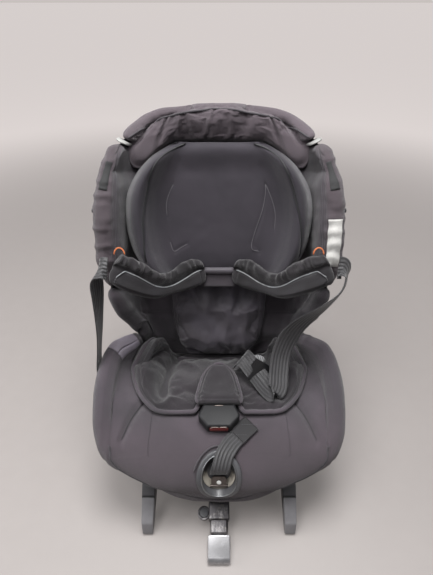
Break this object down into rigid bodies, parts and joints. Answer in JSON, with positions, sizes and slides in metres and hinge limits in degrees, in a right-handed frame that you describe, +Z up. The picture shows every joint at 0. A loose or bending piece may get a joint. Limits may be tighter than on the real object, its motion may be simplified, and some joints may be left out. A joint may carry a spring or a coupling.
{
  "type": "child car seat",
  "caption": "Padded bucket seat with sliding headrest, harness, buckle and strap adjuster, on a base with reclining rails, a folding support leg and sliding anchor arms.",
  "frame": {"origin": "on the floor under the middle of the object's bounding box, the anchor arms pushed in and the leg resting forward on the floor", "axes": "+Z up, the seat faces -Y, +X to the right of a front view"},
  "size_m": [0.4773, 0.6, 0.6975],
  "materials": {
    "fabric_cover": "matte woven cover over foam",
    "jersey": "smooth stretch fabric over foam",
    "webbing": "woven polyester webbing",
    "black_plastic": "moulded",
    "grey_plastic": "moulded",
    "pale_plastic": "moulded",
    "steel": "satin",
    "dark_steel": "satin",
    "plate_metal": "worn",
    "red_plastic": "satin",
    "orange_cord": "elastic cord",
    "rubber": "matte"
  },
  "bodies": {
    "base": {"base_housing": "black_plastic", "leg_pin": "steel", "recline_rail_left": "dark_steel", "recline_rail_right": "dark_steel", "arm_rail_left": "grey_plastic", "arm_rail_right": "grey_plastic", "front_foot_left": "grey_plastic", "front_foot_right": "grey_plastic", "rear_pad_left": "rubber", "rear_pad_right": "rubber"},
    "recline_button": {"recline_button": "black_plastic"},
    "arm_left": {"anchor_arm_left": "steel", "connector_left": "black_plastic"},
    "arm_right": {"anchor_arm_right": "steel", "connector_right": "black_plastic"},
    "hook_left": {"latch_hook_left": "steel"},
    "hook_right": {"latch_hook_right": "steel"},
    "release_left": {"release_slider_left": "grey_plastic"},
    "release_right": {"release_slider_right": "grey_plastic"},
    "leg": {"leg_sleeve": "black_plastic"},
    "leg_button": {"leg_lock_button": "grey_plastic"},
    "leg_slide": {"leg_tube": "steel", "leg_foot": "grey_plastic"},
    "seat": {"seat_shell": "black_plastic", "rear_panel": "black_plastic", "cradle_shaft_front": "steel", "cradle_shaft_rear": "steel", "cradle_plate_left": "dark_steel", "cradle_plate_right": "dark_steel", "guide_rail_left": "steel", "guide_rail_right": "steel", "wing_pad_left": "fabric_cover", "wing_pad_right": "fabric_cover", "side_liner_left": "pale_plastic", "side_liner_right": "pale_plastic", "seat_cover": "fabric_cover", "seat_insert": "fabric_cover", "back_cover": "fabric_cover", "back_pad": "fabric_cover", "top_pad": "fabric_cover", "harness_strap_left": "webbing", "harness_strap_right": "webbing", "tongue_left": "steel", "tongue_right": "steel", "crotch_strap": "webbing", "crotch_pad": "fabric_cover", "buckle_housing": "black_plastic", "adjuster_bezel": "grey_plastic", "adjuster_strap": "webbing"},
    "buckle_button": {"buckle_button": "red_plastic"},
    "adjuster_lever": {"adjuster_lever": "plate_metal"},
    "headrest": {"headrest_carriage": "black_plastic", "headrest_shell": "black_plastic", "headrest_cushion": "jersey", "shoulder_pad_left": "fabric_cover", "shoulder_pad_right": "fabric_cover", "elastic_loop_left": "orange_cord", "elastic_loop_right": "orange_cord"},
    "headrest_handle": {"headrest_handle": "grey_plastic"}
  },
  "joints": [
    {"name": "seat_recline", "type": "hinge", "parent": "base", "child": "seat", "pos_m": [0, -0.02, 0.6], "axis": [-1, 0, 0], "range_deg": [0, 8]},
    {"name": "recline_button_press", "type": "slide", "parent": "base", "child": "recline_button", "axis": [0, 1, 0], "range_m": [0, 0.007], "stiffness_N_per_m": 700, "springref_m": -0.002},
    {"name": "anchor_arm_slide_left", "type": "slide", "parent": "base", "child": "arm_left", "axis": [0, 1, 0], "range_m": [0, 0.12]},
    {"name": "hook_turn_left", "type": "hinge", "parent": "arm_left", "child": "hook_left", "pos_m": [-0.14, 0.257, 0.0689], "axis": [1, 0, 0], "range_deg": [0, 25]},
    {"name": "release_slide_left", "type": "slide", "parent": "arm_left", "child": "release_left", "axis": [0, -1, 0], "range_m": [0, 0.008], "stiffness_N_per_m": 400, "springref_m": -0.002},
    {"name": "anchor_arm_slide_right", "type": "slide", "parent": "base", "child": "arm_right", "axis": [0, 1, 0], "range_m": [0, 0.12]},
    {"name": "hook_turn_right", "type": "hinge", "parent": "arm_right", "child": "hook_right", "pos_m": [0.14, 0.257, 0.0689], "axis": [1, 0, 0], "range_deg": [0, 25]},
    {"name": "release_slide_right", "type": "slide", "parent": "arm_right", "child": "release_right", "axis": [0, -1, 0], "range_m": [0, 0.008], "stiffness_N_per_m": 400, "springref_m": -0.002},
    {"name": "leg_swing", "type": "hinge", "parent": "base", "child": "leg", "pos_m": [0, -0.04, 0.078], "axis": [1, 0, 0], "range_deg": [0, 160]},
    {"name": "leg_button_press", "type": "slide", "parent": "leg", "child": "leg_button", "axis": [0, 0.247, -0.969], "range_m": [0, 0.003], "stiffness_N_per_m": 500, "springref_m": -0.001},
    {"name": "leg_extend", "type": "slide", "parent": "leg", "child": "leg_slide", "axis": [0, -0.969, -0.247], "range_m": [0, 0.09]},
    {"name": "buckle_button_press", "type": "slide", "parent": "seat", "child": "buckle_button", "axis": [0, 0.9915, 0.1299], "range_m": [0, 0.004], "stiffness_N_per_m": 700, "springref_m": -0.002},
    {"name": "adjuster_lever_press", "type": "hinge", "parent": "seat", "child": "adjuster_lever", "pos_m": [0, -0.21806, 0.13553], "axis": [-1, 0, 0], "range_deg": [0, 10], "stiffness_Nm_per_rad": 0.25, "springref_deg": -8.59},
    {"name": "headrest_slide", "type": "slide", "parent": "seat", "child": "headrest", "axis": [0, 0.3746, 0.9272], "range_m": [0, 0.07], "deforming": ["harness_strap_left", "harness_strap_right"]},
    {"name": "headrest_handle_pull", "type": "slide", "parent": "headrest", "child": "headrest_handle", "axis": [0, 0.3746, 0.9272], "range_m": [0, 0.008], "stiffness_N_per_m": 600, "springref_m": -0.003}
  ],
  "couplings": [
    {"joint": "hook_turn_left", "follows": "release_slide_left", "rad_per_m": 54.5},
    {"joint": "hook_turn_right", "follows": "release_slide_right", "rad_per_m": 54.5}
  ]
}
